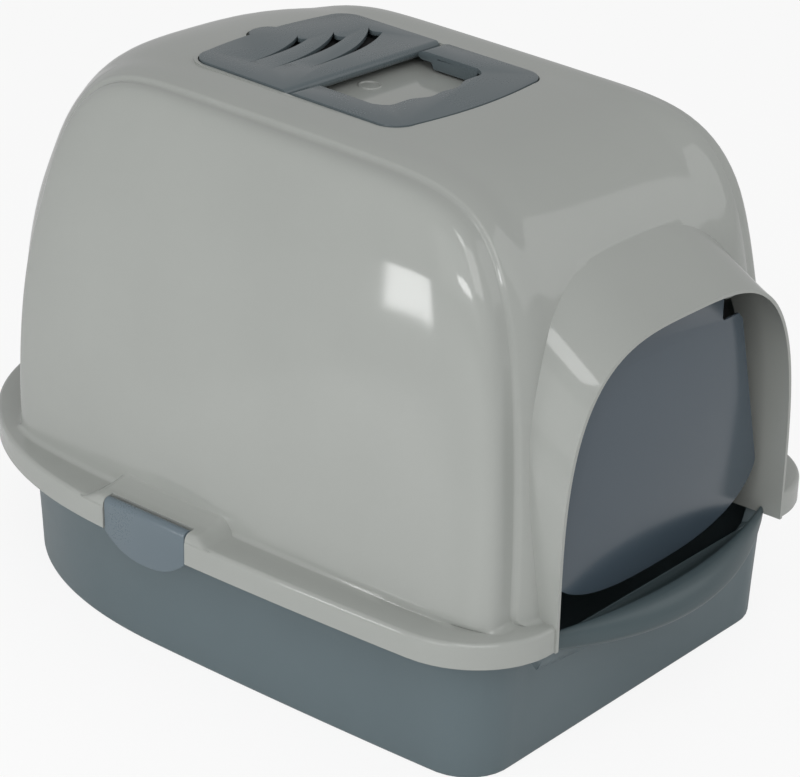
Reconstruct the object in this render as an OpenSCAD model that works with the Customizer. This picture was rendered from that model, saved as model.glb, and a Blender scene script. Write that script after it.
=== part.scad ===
// Hooded litter box: a tray, a lift-off hood with an entrance porch, a swing flap,
// two side latches, a filter cover with its filter pad, and a folding carry handle.
// Millimetres, +Z up, the entrance faces -Y, the tray stands on Z = 0.

/* [Plan] */
// Half of the width over the hood's skirt
half_w = 200; // [180:1:230]
// From the origin forward to the skirt
front_y = 287; // [270:1:310]
// From the origin back to the skirt
rear_y = 273; // [255:1:300]
// Radius of the front corners in plan
corner_r = 63; // [50:1:75]
// How far the long sides draw in towards the front
side_bow = 11; // [0:1:16]
// Roundness of the rear in plan, 2 is an ellipse
rear_power = 2.2; // [2:0.1:3]

/* [Tray] */
// Height of the tray's rim
tray_h = 110; // [95:1:125]
// Wall of the tray
tray_wall = 3; // [2:0.5:4.5]
// Floor of the tray
tray_floor = 3; // [2:0.5:5]
// How far the foot of the tray stands inside the skirt
foot_inset = 29; // [27:1:40]
// How far the top of the tray's wall stands inside the skirt
brim_inset = 24; // [22:1:27]
// Height of the low wall inside the entrance
sill_h = 80; // [70:1:90]
// How far the entrance lip reaches in front of the skirt
lip_reach = 20; // [10:1:26]
// How far the lip's ends draw back from its middle
lip_bow = 30; // [10:1:34]
// Height of the lip's crest
lip_h = 100.5; // [96:0.5:103]

/* [Hood] */
// Wall of the hood
hood_wall = 2.6; // [2:0.1:3.4]
// Height of the skirt round the tray's rim
skirt_h = 18; // [14:1:24]
// Width of the ledge from the hood's wall to the skirt's face
ledge_w = 28; // [25:1:31]
// Height of the hood's top over the ledge
hood_rise = 270; // [245:1:295]
// Height of the side panels' arch over the ledge
arch_rise = 262.5; // [240:0.5:291]
// How far the side panels stand out past their arched edge
panel_bulge = 30; // [22:1:36]
// Depth of the step round each side panel
panel_step = 3; // [2:0.5:4]

/* [Porch] */
// Half of the porch's width
porch_half_w = 126; // [118:1:130]
// Height of the porch's rim over the ledge
rim_rise = 174; // [150:1:190]
// Height over the ledge at which the porch roof meets the hood
roof_rise = 213; // [195:1:222]
// Squareness of the entrance arch
arch_power = 3.4; // [2.6:0.1:4.5]

/* [Flap] */
// Thickness of the flap
flap_t = 2; // [1.6:0.1:3]
// Half of the flap's width at its foot
flap_half_w = 116; // [106:1:118]
// Half of the flap's width at its shoulders
flap_shoulder_w = 84; // [76:1:90]
// Half of the flap's neck between the hinge brackets
flap_neck_w = 60; // [50:1:66]
// Radius of the flap's hinge pins
flap_pin_r = 3; // [2:0.25:4]

/* [Latches] */
// Width of a latch
latch_w = 75; // [60:1:90]
// Drop of a latch below its hinge pin
latch_drop = 34; // [28:1:40]
// Radius of a latch's barrel
latch_barrel_r = 4; // [3.4:0.1:4.4]
// Radius of a latch's hinge pin
latch_pin_r = 1.5; // [1:0.25:2]
// Rise of the hood's ledge behind a latch
hump_rise = 5; // [4:0.5:8]

/* [Hatch] */
// Half of the hatch's width
hatch_half_w = 78; // [70:1:84]
// From the hinge line forward to the hatch's front edge
hatch_front = 95; // [84:1:100]
// From the hinge line back to the hatch's rear edge
hatch_rear = 101; // [92:1:106]
// How far the hatch's front and rear edges bow out
hatch_bow = 5; // [0:1:8]
// Depth of the well below the handle and the cover
well_depth = 13; // [11:1:16]
// Thickness of the filter cover and the handle's plate
lid_t = 3; // [2:0.5:4]
// Depth of the handle's front bar
grip_depth = 38; // [30:1:44]
// Width of the handle's arms
arm_w = 24; // [18:1:28]
// Radius of the cover's rolled front edge
nose_r = 4; // [3.6:0.1:4.6]
// Radius of the cover's and the handle's hinge pins
lid_pin_r = 2; // [1.5:0.25:2.25]
// Thickness of the filter pad
pad_t = 6; // [4:0.5:7]

/* [Fits] */
// Running clearance round a hinge pin
pin_gap = 0.05; // [0.03:0.01:0.1]
// Gap between parts that rest on each other
seat_gap = 0.3; // [0.2:0.05:0.5]
// Gap beside parts that swing
side_gap = 1; // [0.6:0.1:1.5]

/* [Hidden] */

hood_colour = [0.65, 0.66, 0.64];
tray_colour = [0.39, 0.44, 0.46];
latch_colour = [0.44, 0.49, 0.53];
flap_colour = [0.35, 0.38, 0.43];
pad_colour = [0.12, 0.12, 0.12];

// Plan outline: a rounded front and a superelliptic rear, joined abeam plan_mid
plan_mid = 20;
// Smallest radius that a corner keeps where it is drawn inwards
inner_corner_r = 12;

// Heights of the joint between tray and hood
rim_t = 3.5;
rim_inset = 7;
ledge_under = tray_h + seat_gap;
ledge_top = ledge_under + hood_wall + 0.4;
skirt_bottom = ledge_top - skirt_h;
fillet = 4;
wall_z = ledge_top + fillet;

// Hood form: polar grids in side view about a point on the ledge
hub_y = -48;
lean = 0.125;
top_slope = 0.045;
front_bulge = 13;
front_reach = front_y + hub_y - ledge_w + fillet + front_bulge;
rear_reach = rear_y - hub_y - ledge_w + fillet;
base_half_w = half_w - ledge_w;
arch_half_w = base_half_w - panel_bulge;
arch_setback = 12;
arch_front = front_reach - arch_setback;
arch_rear = 220;
arch_taper = 24;
arch_spread = 6;
arch_shoulder = 4.5;
// Squareness of the outlines in side view, at the front and at the rear
arch_squareness = [6.5, 3.2];
top_squareness = [5, 3.3];
band_squareness = [8, 1.9];
// Fullness of the side panels at the front, above the hub and at the rear
panel_fullness = [5, 3.4, 2.6];

function mix(a, b, t) = a + (b - a) * t;
function clamp(v, lo, hi) = max(lo, min(hi, v));
function smooth(t) = let (c = clamp(t, 0, 1)) c * c * (3 - 2 * c);
function superellipse_r(ca, sa, a, b, n) = pow(pow(abs(ca) / a, n) + pow(abs(sa) / b, n), -1 / n);

// Distance from (0, plan_mid) to the plan outline in direction a, at an inset
function plan_r(a, inset) =
    let (w = half_w - inset, ca = cos(a), sa = sin(a))
    sa >= 0 ? superellipse_r(ca, sa, w, rear_y - plan_mid - inset, rear_power)
            : front_r(abs(ca), -sa, w, front_y + plan_mid - inset, max(corner_r - inset, inner_corner_r));
function front_r(ca, sa, w, d, r) =
    let (to_side = w / max(ca, 0.0001), to_front = d / max(sa, 0.0001))
    to_side * sa < d - r ? to_side :
    to_front * ca < w - r ? to_front :
    let (along = ca * (w - r) + sa * (d - r), off = pow(w - r, 2) + pow(d - r, 2) - r * r)
    along + sqrt(along * along - off);
function plan_point(a, inset) =
    let (r = plan_r(a, inset), x = r * cos(a), y = plan_mid + r * sin(a))
    [x * bow(y), y];
function bow(y) = 1 - side_bow / half_w * pow(min(0, y - plan_mid) / (front_y + plan_mid), 2);

// Joins rings of the same number of points into faces, ring i to ring i + 1
function ring_faces(i, n, first = 0) = [
    for (j = [0:n - 1])
        let (k = (j + 1) % n, a = first + i * n, b = a + n)
        each [[a + j, b + j, b + k], [a + j, b + k, a + k]]
];

// ---- Hood form ----

// Side view positions run from 0, the front of the ledge, over the top to 1, its rear
side_rows = 30;
// Stations from a side panel's hub out to its edge
panel_steps = [0.22, 0.42, 0.58, 0.7, 0.79, 0.86, 0.915, 0.955, 0.985, 1];
// Stations from the panel's edge over the band to the middle
band_steps = [1, 0.97, 0.91, 0.8, 0.62, 0.38, 0.14];

function side_angle(row) = 180 * row / side_rows;
function rearness(row) = smooth(row / side_rows);
function lift(y, z) = z + top_slope * (y - hub_y) * clamp((z - ledge_top) / hood_rise, 0, 1);
function side_point(row, reach_f, reach_r, rise, power) =
    let (a = side_angle(row), ca = cos(a), sa = sin(a),
         r = superellipse_r(ca, sa, ca > 0 ? reach_f : reach_r, rise, power),
         y = hub_y - r * ca * (1 - (ca > 0 ? lean : 0) * r * sa / reach_f),
         z = wall_z + r * sa)
    [y, lift(y, z)];
// Both outlines are squarer in front of their turning rows than behind them
function turn(pair, row, from, rows) = mix(pair[0], pair[1], smooth((row - from) / rows));
function arch_point(row, t) =
    side_point(row, arch_front - t, arch_rear - t, arch_rise - fillet - t, turn(arch_squareness, row, 17, 7));
function middle_point(row, t) =
    side_point(row, front_reach - t, rear_reach - t, hood_rise - fillet - t, turn(top_squareness, row, 18, 6));
// The arched edge draws in with height, early at the front and late at the rear, where it stands wider
function arch_x(row, z) =
    let (t = clamp((z - wall_z) / (arch_rise - fillet), 0, 1))
    arch_half_w + arch_spread * rearness(row) - arch_shoulder * smooth((t - 0.75) / 0.25)
    - arch_taper * mix(1 - pow(1 - t, 2), pow(t, 1.7), rearness(row));

// A point on a side panel, s from 0 at its hub to 1 at its edge
function panel_point(row, s, t) =
    let (e = arch_point(row, t), y = mix(hub_y, e[0], s), z = mix(wall_z, e[1], s),
         n = lookup(row / side_rows, [[0, panel_fullness[0]], [0.5, panel_fullness[1]], [1, panel_fullness[2]]]))
    [arch_x(row, z) - t + (panel_bulge - arch_spread * rearness(row)) * pow(1 - pow(s, n), 1 / n), y, z];
// A point on the middle band, u from 1 at the panel's edge to 0 in the middle
function band_point(row, u, t) =
    let (e = arch_point(row, t), m = middle_point(row, t),
         g = pow(u, mix(band_squareness[0], band_squareness[1], rearness(row))),
         out = panel_step * smooth((u - 0.7) / 0.24),
         a = side_angle(row))
    [(arch_x(row, e[1]) - t) * u,
     mix(m[0], e[0], g) - out * cos(a),
     mix(m[1], e[1], g) + out * sin(a)];
function half_row(row, t) = concat(
    [for (s = panel_steps) panel_point(row, s, t)],
    [for (u = band_steps) band_point(row, u, t)]
);
function flip_x(p) = [-p[0], p[1], p[2]];
function full_row(row, t) =
    let (h = half_row(row, t), n = len(h))
    concat([for (p = h) flip_x(p)], [for (i = [0:n - 1]) h[n - 1 - i]]);
row_n = 2 * (len(panel_steps) + len(band_steps));
hub_n = 2 * row_n + 2;

// Points of one skin of the hood: all rows, then the two hubs
function skin_points(t) = concat(
    [for (row = [0:side_rows]) each full_row(row, t)],
    [for (side = [-1, 1]) [side * (base_half_w - t), hub_y, wall_z]]
);
skin_n = (side_rows + 1) * row_n + 2;
function skin_faces(first, flip) = [
    for (i = [0:side_rows - 1])
        let (a = first + i * row_n, b = a + row_n)
        each concat(
            [for (j = [0:row_n - 2]) each [wind([a + j, a + j + 1, b + j + 1], flip),
                                           wind([a + j, b + j + 1, b + j], flip)]],
            [wind([first + skin_n - 2, a, b], flip), wind([first + skin_n - 1, b + row_n - 1, a + row_n - 1], flip)]
        )
];
function wind(f, flip) = flip ? [f[0], f[2], f[1]] : f;

// Indices of the skin's lower edge, once round
function edge_ids(first) = concat(
    [first + skin_n - 2],
    [for (j = [0:row_n - 1]) first + j],
    [first + skin_n - 1],
    [for (j = [0:row_n - 1]) first + side_rows * row_n + row_n - 1 - j]
);
function polar_of(p) = atan2(p[1] - plan_mid, p[0]);

// Rings from the wall's foot round the ledge and the skirt to the inner wall
skirt_rings = [
    [ledge_w - fillet * 0.6, ledge_top + fillet * 0.35],
    [ledge_w - fillet, ledge_top],
    [2.4, ledge_top],
    [0.7, ledge_top - 0.7],
    [0, ledge_top - 2.4],
    [0, skirt_bottom],
    [hood_wall, skirt_bottom],
    [hood_wall, ledge_under],
    [ledge_w + 4, ledge_under]
];

// A ring keeps to the plan outline, or below the wall's foot where that stands further out
function from_mid(p) = [p[0], p[1] - plan_mid];
function ring_point(foot, ring) =
    let (q = from_mid(plan_point(polar_of(foot), ring[0])),
         k = ring[0] > fillet ? max(1, norm(from_mid(foot)) / norm(q)) : 1)
    [q[0] * k, plan_mid + q[1] * k, ring[1]];
module hood_shell() {
    outer = skin_points(0);
    inner = skin_points(hood_wall);
    outer_foot = [for (i = edge_ids(0)) outer[i]];
    inner_foot = [for (i = edge_ids(0)) inner[i]];
    rings = [
        for (i = [0:len(skirt_rings) - 1])
            for (p = i < len(skirt_rings) - 1 ? outer_foot : inner_foot)
                ring_point(p, skirt_rings[i])
    ];
    n = len(outer_foot);
    first = 2 * skin_n;
    last = first + (len(skirt_rings) - 1) * n;
    polyhedron(
        points = concat(outer, inner, rings),
        faces = concat(
            skin_faces(0, true),
            skin_faces(skin_n, false),
            join_faces([for (j = [0:n - 1]) first + j], edge_ids(0)),
            [for (i = [0:len(skirt_rings) - 2]) each turned(ring_faces(i, n, first))],
            join_faces(edge_ids(skin_n), [for (j = [0:n - 1]) last + j])
        )
    );
}
function turned(faces) = [for (f = faces) [f[0], f[2], f[1]]];
function join_faces(a, b) = [
    for (j = [0:len(a) - 1])
        let (k = (j + 1) % len(a))
        each [[a[j], b[j], b[k]], [a[j], b[k], a[k]]]
];

// ---- Porch ----

porch_steps = 28;
// How far behind the hood's front the porch's roof and its sides leave it
roof_sink = 22;
side_sink = 4;
porch_root = 24;
side_wall_h = 90;
roof_y = hub_y - front_reach + roof_sink;
side_y = hub_y - front_reach + side_sink;
rim_y = -front_y - 1;
// Shares of the roof's fall that follow a curve: where the curve starts and how much it carries
roof_curve = [0.25, 0.35];
function arch_at(i, half, rise, base) =
    let (a = 180 * i / porch_steps, r = superellipse_r(cos(a), sin(a), half, rise, arch_power))
    [-r * cos(a), base + r * sin(a)];
// Section of the porch at depth d from 0 inside the hood to 1 at the rim
function porch_ring(d, t) =
    let (rise = mix(roof_rise, rim_rise, mix(d, smooth(mix(roof_curve[0], 1, d)), roof_curve[1])))
    concat(
        [[-porch_half_w + t, mix(side_y + porch_root, rim_y, d), skirt_bottom]],
        [for (i = [0:porch_steps])
            let (p = arch_at(i, porch_half_w - t, rise - t, ledge_top),
                 back = mix(side_y, roof_y, smooth((p[1] - ledge_top - side_wall_h) / (roof_rise - side_wall_h))) + porch_root)
            [p[0], mix(back, rim_y, d), p[1]]],
        [[porch_half_w - t, mix(side_y + porch_root, rim_y, d), skirt_bottom]]
    );
porch_depths = [0, 0.35, 0.55, 0.75, 0.9, 1];
module porch_solid(t, from, to) {
    rings = [for (d = porch_depths) [for (p = porch_ring(d, t)) [p[0], d == 0 ? p[1] + from : d == 1 ? p[1] - to : p[1], p[2]]]];
    n = len(rings[0]);
    polyhedron(
        points = [for (r = rings) each r],
        faces = concat(
            [for (i = [0:len(porch_depths) - 2]) each turned(ring_faces(i, n))],
            [for (j = [1:n - 2]) [0, j + 1, j]],
            [for (j = [1:n - 2]) let (k = (len(porch_depths) - 1) * n) [k, k + j, k + j + 1]]
        )
    );
}

// ---- Tray ----

entry_half_w = porch_half_w + 3;
// Directions of the tray's stations, from the middle of the front round the right to the rear
tray_side_angles = concat(
    [for (x = [0:30:90]) toward(x)],
    [for (dx = [-6:2:2]) toward(entry_half_w + dx)],
    [for (a = [-63:2:-49]) a],
    [-45, -39, -32, -24, -16, -8],
    [for (a = [0:7.5:90]) a]
);
function toward(x) = atan2(-(front_y + plan_mid - brim_inset), x);
tray_angles = concat(
    tray_side_angles,
    [for (i = [len(tray_side_angles) - 2:-1:1]) 180 - tray_side_angles[i]]
);
// Section from the foot up the outside, over the rim and down the inside
rim_section = [
    [foot_inset + 3, 0], [foot_inset + 0.6, 1], [foot_inset - 0.6, 4], [brim_inset + 0.5, tray_h - 14],
    [brim_inset - 3, tray_h - rim_t - 1], [rim_inset + 1, tray_h - rim_t], [rim_inset, tray_h - rim_t / 2],
    [rim_inset + 1, tray_h], [brim_inset + tray_wall, tray_h],
    [brim_inset + tray_wall + 1, tray_h - 14], [foot_inset + tray_wall, tray_floor + 6],
    [foot_inset + tray_wall + 8, tray_floor]
];
// The same stations where the wall drops to a sill inside the entrance
sill_section = [
    [foot_inset + 3, 0], [foot_inset + 0.6, 1], [foot_inset - 0.6, 4], [brim_inset + 3, sill_h - 12],
    [brim_inset + 2.2, sill_h - 6], [brim_inset + 2, sill_h - 3], [brim_inset + 2, sill_h - 1],
    [brim_inset + 2.5, sill_h], [brim_inset + tray_wall + 2, sill_h],
    [brim_inset + tray_wall + 3, sill_h - 12], [foot_inset + tray_wall, tray_floor + 6],
    [foot_inset + tray_wall + 8, tray_floor]
];
function at_entry(p) = p[1] < 0 ? smooth((entry_half_w + 1 - abs(p[0])) / 7) : 0;
module tray_shell() {
    n = len(tray_angles);
    rings = [for (k = [0:len(rim_section) - 1]) each [
        for (i = [0:n - 1])
            let (a = tray_angles[i],
                 e = at_entry(plan_point(a, brim_inset)),
                 inset = mix(rim_section[k][0], sill_section[k][0], e),
                 p = plan_point(a, inset))
            [p[0], p[1], mix(rim_section[k][1], sill_section[k][1], e)]
    ]];
    m = len(rim_section);
    hub = len(rings);
    polyhedron(
        points = concat(rings, [[0, 0, 0], [0, 0, tray_floor]]),
        faces = concat(
            [for (i = [0:m - 2]) each ring_faces(i, n)],
            [for (j = [0:n - 1]) [hub, j, (j + 1) % n]],
            [for (j = [0:n - 1]) [hub + 1, (m - 1) * n + (j + 1) % n, (m - 1) * n + j]]
        )
    );
}
// Entrance lip: one section swept across the entrance on a bowed line. Each point's third
// number is its share of the underside's rise and tuck towards the lip's ends
lip_end_rise = 7;
lip_end_tuck = 14;
lip_half_w = porch_half_w - hood_wall - side_gap;
lip_wall_y = -front_y + brim_inset + 1;
lip_front_y = -front_y - lip_reach;
lip_section = [
    [lip_wall_y + 2, sill_h - 22, 1], [lip_wall_y - 6, sill_h - 14, 1], [lip_wall_y - 20, sill_h - 3, 1],
    [lip_front_y + 6, lip_h - 21, 0.9], [lip_front_y + 1, lip_h - 18, 0.75], [lip_front_y, lip_h - 13, 0.4],
    [lip_front_y + 4, lip_h - 4, 0.1], [lip_front_y + 9, lip_h - 0.6, 0], [lip_front_y + 14, lip_h, 0],
    [lip_front_y + 18, lip_h - 2, 0], [lip_front_y + 22, lip_h - 9, 0], [lip_wall_y - 6, sill_h + 2, 0],
    [lip_wall_y + 2, sill_h, 0]
];
lip_rows = 16;
module entrance_lip() {
    m = len(lip_section);
    rows = [for (i = [0:lip_rows]) each [
        for (p = lip_section)
            let (side = mix(-1, 1, i / lip_rows), c = side * side,
                 f = clamp((lip_wall_y - p[0]) / (lip_wall_y - lip_front_y), 0, 1))
            [side * (lip_half_w - lip_end_tuck * p[2]), p[0] + lip_bow * c * f, p[1] + lip_end_rise * c * p[2]]
    ]];
    polyhedron(
        points = rows,
        faces = concat(
            [for (i = [0:lip_rows - 1]) each turned(ring_faces(i, m))],
            [for (j = [1:m - 2]) [0, j + 1, j]],
            [for (j = [1:m - 2]) let (k = lip_rows * m) [k, k + j, k + j + 1]]
        )
    );
}

module tray()
    color(tray_colour) {
        tray_shell();
        entrance_lip();
    }

// ---- Latches ----

latch_pin_x = half_w - 5;
latch_pin_z = ledge_top + 1;
latch_face_x = latch_pin_x + latch_barrel_r;
latch_t = 3;
latch_pin_reach = 5;
latch_pocket_w = latch_w + 2 * side_gap;
latch_pocket_x = latch_pin_x - latch_barrel_r - side_gap;
module along_y(x, z, r, y_from, y_to)
    translate([x, y_from, z])
        rotate([-90, 0, 0])
            cylinder(h = y_to - y_from, r = r, $fn = 48);
module latch() {
    half = latch_w / 2;
    along_y(latch_pin_x, latch_pin_z, latch_barrel_r, -half, half);
    along_y(latch_pin_x, latch_pin_z, latch_pin_r, -half - latch_pin_reach, half + latch_pin_reach);
    // Plate with a bowed lower edge
    translate([latch_face_x, 0, latch_pin_z])
        rotate([0, -90, 0])
            linear_extrude(height = latch_t)
                polygon(latch_outline(half));
    // Catch, which stops just short of the tray's rim
    along_y(half_w - rim_inset + catch_gap + catch_r, tray_h - rim_t - catch_r - side_gap, catch_r,
            -half + latch_t, half - latch_t);
}
catch_r = 2.2;
catch_gap = 0.5;
latch_corner_rise = 14;
function latch_outline(half) = concat(
    [[0, -half], [0, half]],
    [for (i = [0:16]) let (y = half - i * half / 8)
        [-latch_drop + latch_corner_rise * pow(abs(y) / half, 2.4), y]]
);
module latch_left()
    color(latch_colour)
        mirror([1, 0, 0])
            latch();
module latch_right()
    color(latch_colour)
        latch();
// Opening through the ledge's edge and the skirt
module latch_pocket()
    translate([latch_pocket_x, -latch_pocket_w / 2, skirt_bottom - 1])
        cube([half_w, latch_pocket_w, skirt_h + hump_rise + 2]);
// The ledge rises behind each latch and beside it, where it carries the latch's pin
hump_flat = latch_pocket_w / 2 + 5.5;
hump_end = hump_flat + 12;
hump_foot = ledge_top - 0.8;
wall_x = half_w - ledge_w - 2;
// Heights are in shares of hump_rise over the ledge
hump_top = [[0, 2.2], [2, 1.95], [4, 1.78], [8, 1.5], [12, 1.27], [16, 1.09]];
hump_beside = [[22, 0.96], [26, 0.8], [28.2, 0.4], [29.2, -0.1]];
hump_behind = [[latch_pocket_x - wall_x - 1.6, 0.92], [latch_pocket_x - wall_x - 0.4, 0.6],
               [latch_pocket_x - wall_x, 0.1]];
module hump(edge, stations) {
    profile = concat(hump_top, edge);
    n = len(profile) + 2;
    rings = [for (q = stations) each concat(
        [[wall_x, q[0], hump_foot]],
        [for (p = profile) [wall_x + p[0], q[0], mix(hump_foot, ledge_top + hump_rise * p[1], q[1])]],
        [[wall_x + edge[len(edge) - 1][0], q[0], hump_foot - 0.1]]
    )];
    polyhedron(
        points = rings,
        faces = concat(
            [for (i = [0:len(stations) - 2]) each ring_faces(i, n)],
            [for (j = [1:n - 2]) [0, j, j + 1]],
            [for (j = [1:n - 2]) let (k = (len(stations) - 1) * n) [k, k + j + 1, k + j]]
        )
    );
}
module latch_hump() {
    difference() {
        hump(hump_beside, concat(
            [for (i = [6:-1:0]) [-mix(hump_flat, hump_end, i / 6), 1 - smooth(i / 6)]],
            [for (i = [0:6]) [mix(hump_flat, hump_end, i / 6), 1 - smooth(i / 6)]]
        ));
        translate([latch_pocket_x - 4, -latch_pocket_w / 2, hump_foot - 1])
            cube([half_w, latch_pocket_w, skirt_h + hump_rise]);
    }
    hump(hump_behind, [[-latch_pocket_w / 2 - 0.5, 1], [latch_pocket_w / 2 + 0.5, 1]]);
}

// ---- Entry flap ----

flap_y = -front_y + 17;
flap_pin_z = ledge_top + rim_rise - 10;
flap_top_r = 4;
flap_shoulder_z = flap_pin_z - 21;
flap_foot_z = lip_h + 2;
// Rise of the flap's rounded foot at its full width, and the foot's squareness
flap_foot_rise = 55;
flap_foot_power = 2.6;
flap_foot_steps = 16;
flap_foot_w = flap_half_w - 4;
flap_pin_x = flap_neck_w + 6;
function foot_z(x) =
    flap_foot_z + flap_foot_rise * (1 - pow(1 - pow(abs(x) / flap_half_w, flap_foot_power), 1 / flap_foot_power));
function flap_outline() = concat(
    [[flap_neck_w, flap_pin_z], [flap_neck_w, flap_shoulder_z + 2], [flap_neck_w + 2, flap_shoulder_z],
     [flap_shoulder_w - 5, flap_shoulder_z], [flap_shoulder_w, flap_shoulder_z - 5],
     [flap_foot_w + 1, foot_z(flap_foot_w) + 4]],
    [for (i = [0:flap_foot_steps]) let (x = flap_foot_w * cos(90 * i / flap_foot_steps)) [x, foot_z(x)]]
);
module flap_plate(t)
    rotate([90, 0, 0])
        linear_extrude(height = t)
            for (s = [0, 1])
                mirror([s, 0, 0])
                    polygon(concat(flap_outline(), [[0, flap_pin_z]]));
module along_x(y, z, r, x_from, x_to)
    translate([x_from, y, z])
        rotate([0, 90, 0])
            cylinder(h = x_to - x_from, r = r, $fn = 48);
module entry_flap()
    color(flap_colour) {
        translate([0, flap_y + flap_t / 2, 0])
            flap_plate(flap_t);
        along_x(flap_y, flap_pin_z, flap_top_r, -flap_neck_w, flap_neck_w);
        along_x(flap_y, flap_pin_z, flap_pin_r, -flap_pin_x, flap_pin_x);
    }
bracket_w = 5;
bracket_r = flap_pin_r + 3;
bracket_post = [[-6, 0], [-1.5, 11], [8, 17], [10, 17], [6, 0]];
module flap_brackets()
    for (s = [-1, 1])
        translate([s * (flap_neck_w + side_gap + bracket_w / 2), 0, 0])
            difference() {
                union() {
                    along_x(flap_y, flap_pin_z, bracket_r, -bracket_w / 2, bracket_w / 2);
                    translate([-bracket_w / 2, flap_y, flap_pin_z])
                        rotate([90, 0, 90])
                            linear_extrude(height = bracket_w)
                                polygon(bracket_post);
                }
                along_x(flap_y, flap_pin_z, flap_pin_r + pin_gap, -bracket_w, bracket_w);
            }

// ---- Hatch: cover, pad and handle, drawn in the frame of the sloping top ----

hatch_y = -20;
hatch_z = ledge_top + hood_rise + top_slope * (hatch_y - hub_y) + 0.4;
hatch_corner = 18;
hatch_gap = 0.8;
cover_axis_y = 10;
handle_axis_y = -3.5;
lid_axis_z = -nose_r;
lid_skirt = well_depth - seat_gap;
skirt_t = 3;
lid_w = hatch_half_w - hatch_gap;
module on_hatch()
    translate([0, hatch_y, hatch_z])
        rotate([atan(top_slope), 0, 0])
            children();
// The hatch's outline: bowed at the front and at the rear, drawn in by gap all round
function hatch_outline(gap) =
    let (x = hatch_half_w - gap, f = -hatch_front + gap, b = hatch_rear - gap, r = hatch_corner - gap, w = x - r)
    concat(
        [for (i = [0:7]) let (a = 270 + 90 * i / 7) [w + r * cos(a), f + hatch_bow + r + r * sin(a)]],
        [for (i = [0:7]) let (a = 90 * i / 7) [w + r * cos(a), b - hatch_bow - r + r * sin(a)]],
        [for (i = [1:9]) let (t = 1 - i / 5) [w * t, b - hatch_bow * t * t]],
        [for (i = [0:7]) let (a = 90 + 90 * i / 7) [-w + r * cos(a), b - hatch_bow - r + r * sin(a)]],
        [for (i = [0:7]) let (a = 180 + 90 * i / 7) [-w + r * cos(a), f + hatch_bow + r + r * sin(a)]],
        [for (i = [1:9]) let (t = i / 5 - 1) [w * t, f + hatch_bow * t * t]]
    );
// Thumb tab in the middle of the rear edge
tab_half_w = 13;
tab_reach = 6;
module tab_outline(grow)
    polygon([for (i = [0:12]) let (a = 180 * i / 12)
        [(tab_half_w + grow) * cos(a), hatch_rear - 3 + (tab_reach + 3 + grow) * sin(a)]]);
module well_plan(gap) {
    polygon(hatch_outline(gap));
    tab_outline(2 - gap);
}
// How far the well's own walls stay below the hatch's plane
well_lip = 1.5;
module well_cut()
    on_hatch()
        translate([0, 0, -well_depth])
            linear_extrude(height = 2 * well_depth)
                well_plan(0);
module well_tub()
    on_hatch()
        translate([0, 0, -well_depth - hood_wall])
            linear_extrude(height = well_depth + hood_wall - well_lip)
                well_plan(-hood_wall);
// Bores for the hinge pins of the cover and the handle, in the well's side walls
lid_pin_reach = 4.5;
lid_axes = [cover_axis_y, handle_axis_y];
module lid_bores()
    on_hatch()
        for (y = lid_axes)
            along_x(y, lid_axis_z, lid_pin_r + pin_gap, -hatch_half_w - lid_pin_reach - 0.5,
                    hatch_half_w + lid_pin_reach + 0.5);
module lid_bosses()
    on_hatch()
        for (s = [-1, 1], y = lid_axes)
            along_x(y, lid_axis_z, nose_r - 0.2,
                    s > 0 ? hatch_half_w : -hatch_half_w - lid_pin_reach - 1.5,
                    s > 0 ? hatch_half_w + lid_pin_reach + 1.5 : -hatch_half_w);
// Slots through the well's floor, below the filter pad
pad_half_w = 62;
pad_y = 56;
pad_half_d = 34;
vent_slots = 9;
vent_slot_w = 6;
module floor_vents()
    on_hatch()
        for (i = [0:vent_slots - 1])
            translate([mix(-pad_half_w + 8, pad_half_w - 8, i / (vent_slots - 1)) - vent_slot_w / 2,
                       pad_y - pad_half_d + 5, -well_depth - hood_wall - 1])
                cube([vent_slot_w, 2 * pad_half_d - 10, hood_wall + 2]);

// Vents of the cover: tip's place, length, rise of the lower edge, width at the open end
swooshes = [[-57, 60, 68, 8.5, 10], [-55, 42, 90, 12.5, 12.7], [-33, 27, 95, 18, 14]];
swoosh_notch = 4.5;
function swoosh(x, y, l, rise, w) = concat(
    [for (i = [0:12]) let (t = i / 12) [x + l * t, y + rise * pow(t, 3)]],
    [for (i = [1:5]) let (t = i / 6) [x + l - swoosh_notch * sin(180 * t) + 1.5 * t, y + rise + w * t]],
    [for (i = [0:11]) let (t = 1 - i / 12) [x + (l + 1.5) * t, y + rise * pow(t, 3) + w * pow(t, 1.7)]]
);
module filter_cover()
    color(tray_colour)
        on_hatch()
            difference() {
                union() {
                    translate([0, 0, -lid_t])
                        linear_extrude(height = lid_t)
                            difference() {
                                union() {
                                    polygon(hatch_outline(hatch_gap));
                                    tab_outline(0);
                                }
                                translate([-hatch_half_w, -hatch_front])
                                    square([2 * hatch_half_w, hatch_front + cover_axis_y]);
                            }
                    // Side skirts, which stand on the well's floor
                    for (s = [-1, 1])
                        translate([s > 0 ? lid_w - skirt_t : -lid_w, cover_axis_y, -lid_skirt])
                            cube([skirt_t, hatch_rear - cover_axis_y - hatch_corner - hatch_bow - 2, lid_skirt - 1]);
                    // Rolled front edge with the hinge pins
                    along_x(cover_axis_y, lid_axis_z, nose_r, -lid_w, lid_w);
                    along_x(cover_axis_y, lid_axis_z, lid_pin_r,
                            -hatch_half_w - lid_pin_reach, hatch_half_w + lid_pin_reach);
                }
                for (v = swooshes)
                    translate([0, 0, -well_depth])
                        linear_extrude(height = 2 * well_depth)
                            polygon(swoosh(v[0], v[1], v[2], v[3], v[4]));
            }

module filter_pad()
    color(pad_colour)
        on_hatch()
            translate([-pad_half_w, pad_y - pad_half_d, -well_depth + seat_gap])
                cube([2 * pad_half_w, 2 * pad_half_d, pad_t]);

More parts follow.
